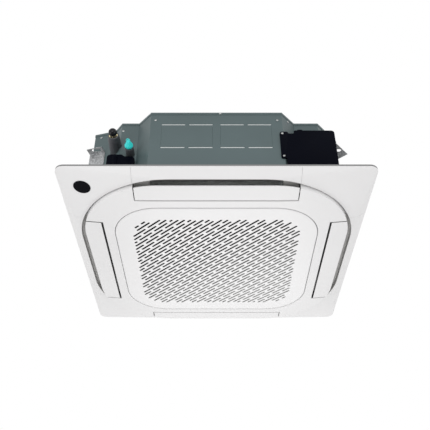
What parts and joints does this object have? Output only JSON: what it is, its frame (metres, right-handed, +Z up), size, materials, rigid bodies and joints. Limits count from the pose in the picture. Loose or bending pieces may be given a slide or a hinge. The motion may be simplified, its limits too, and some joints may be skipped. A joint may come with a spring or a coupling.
{
  "type": "cassette air conditioner",
  "caption": "Four-way ceiling cassette air conditioner: square panel with intake grille and air vanes below a sheet-metal casing with hanging brackets, pipes and a control box.",
  "frame": {"origin": "under the middle of the panel, at its lowest face", "axes": "+Z up to the ceiling, +X and +Y along the panel's sides; the pipes leave towards -Y at -X"},
  "size_m": [0.95, 0.95, 0.333],
  "materials": {
    "coated_steel": "matt grey coating",
    "motor_paint": "grey paint",
    "galvanised": "galvanised",
    "foam": "moulded foam",
    "fan_plastic": "moulded",
    "steel": "zinc plated",
    "rubber": "matt",
    "fins": "bare fins",
    "copper": "bare copper",
    "pump_plastic": "moulded",
    "black_plastic": "moulded black",
    "board": "coated laminate",
    "terminals": "moulded",
    "sleeve_foam": "closed-cell foam",
    "brass": "turned",
    "cap_black": "glossy",
    "cap_teal": "glossy",
    "panel_plastic": "satin",
    "window": "smoked",
    "filter": "net",
    "fittings": "moulded"
  },
  "bodies": {
    "housing": {"top_plate": "coated_steel", "front_panel": "coated_steel", "rear_panel": "coated_steel", "right_panel": "coated_steel", "left_panel": "coated_steel", "piping_panel": "coated_steel", "fan_motor": "motor_paint", "vane_motors": "motor_paint", "end_plates": "galvanised", "hanger_front_left": "galvanised", "hanger_front_right": "galvanised", "hanger_rear_left": "galvanised", "hanger_rear_right": "galvanised", "foam_liner": "foam", "drain_pan": "foam", "bell_mouth": "fan_plastic", "motor_bolts": "steel", "case_screws": "steel", "panel_screws": "steel", "motor_mounts": "rubber", "cable_gland": "rubber", "duct_gaskets": "rubber", "fin_pack": "fins", "return_bends": "copper", "header_pipes": "copper", "gas_pipe": "copper", "liquid_pipe": "copper", "drain_pump": "pump_plastic", "drain_outlet": "pump_plastic", "vane_bushes": "pump_plastic", "control_box": "black_plastic", "control_cover": "black_plastic", "service_cover": "black_plastic", "control_board": "board", "terminal_block": "terminals", "gas_sleeve": "sleeve_foam", "liquid_sleeve": "sleeve_foam", "gas_nut": "brass", "gas_cap": "cap_black", "liquid_cap": "cap_teal", "panel_frame": "panel_plastic", "corner_cover_front_left": "panel_plastic", "corner_cover_front_right": "panel_plastic", "corner_cover_rear_left": "panel_plastic", "corner_cover_rear_right": "panel_plastic", "centre_ring": "panel_plastic", "receiver_window": "window", "hinge_arms": "fittings"},
    "fan": {"fan_impeller": "fan_plastic", "motor_shaft": "steel", "fan_nut": "steel"},
    "front_vane": {"vane_front": "panel_plastic"},
    "right_vane": {"vane_right": "panel_plastic"},
    "rear_vane": {"vane_rear": "panel_plastic"},
    "left_vane": {"vane_left": "panel_plastic"},
    "grille": {"intake_grille": "panel_plastic", "air_filter": "filter"},
    "left_latch": {"latch_left": "fittings"},
    "right_latch": {"latch_right": "fittings"},
    "float": {"pump_float": "pump_plastic"}
  },
  "joints": [
    {"name": "fan_spin", "type": "hinge", "parent": "housing", "child": "fan", "pos_m": [0, 0, 0.2], "axis": [0, 0, 1], "continuous": true},
    {"name": "front_vane_swing", "type": "hinge", "parent": "housing", "child": "front_vane", "pos_m": [0, -0.388, 0.019], "axis": [1, 0, 0], "range_deg": [0, 60]},
    {"name": "right_vane_swing", "type": "hinge", "parent": "housing", "child": "right_vane", "pos_m": [0.388, 0, 0.019], "axis": [0, 1, 0], "range_deg": [0, 60]},
    {"name": "rear_vane_swing", "type": "hinge", "parent": "housing", "child": "rear_vane", "pos_m": [0, 0.388, 0.019], "axis": [-1, 0, 0], "range_deg": [0, 60]},
    {"name": "left_vane_swing", "type": "hinge", "parent": "housing", "child": "left_vane", "pos_m": [-0.388, 0, 0.019], "axis": [0, -1, 0], "range_deg": [0, 60]},
    {"name": "grille_swing", "type": "hinge", "parent": "housing", "child": "grille", "pos_m": [0, 0.296, 0.0043], "axis": [1, 0, 0], "range_deg": [0, 75]},
    {"name": "left_latch_slide", "type": "slide", "parent": "housing", "child": "left_latch", "axis": [0, 0, 1], "range_m": [0, 0.003], "stiffness_N_per_m": 60, "springref_m": -0.002},
    {"name": "right_latch_slide", "type": "slide", "parent": "housing", "child": "right_latch", "axis": [0, 0, 1], "range_m": [0, 0.003], "stiffness_N_per_m": 60, "springref_m": -0.002},
    {"name": "float_slide", "type": "slide", "parent": "housing", "child": "float", "axis": [0, 0, 1], "range_m": [0, 0.012]}
  ]
}
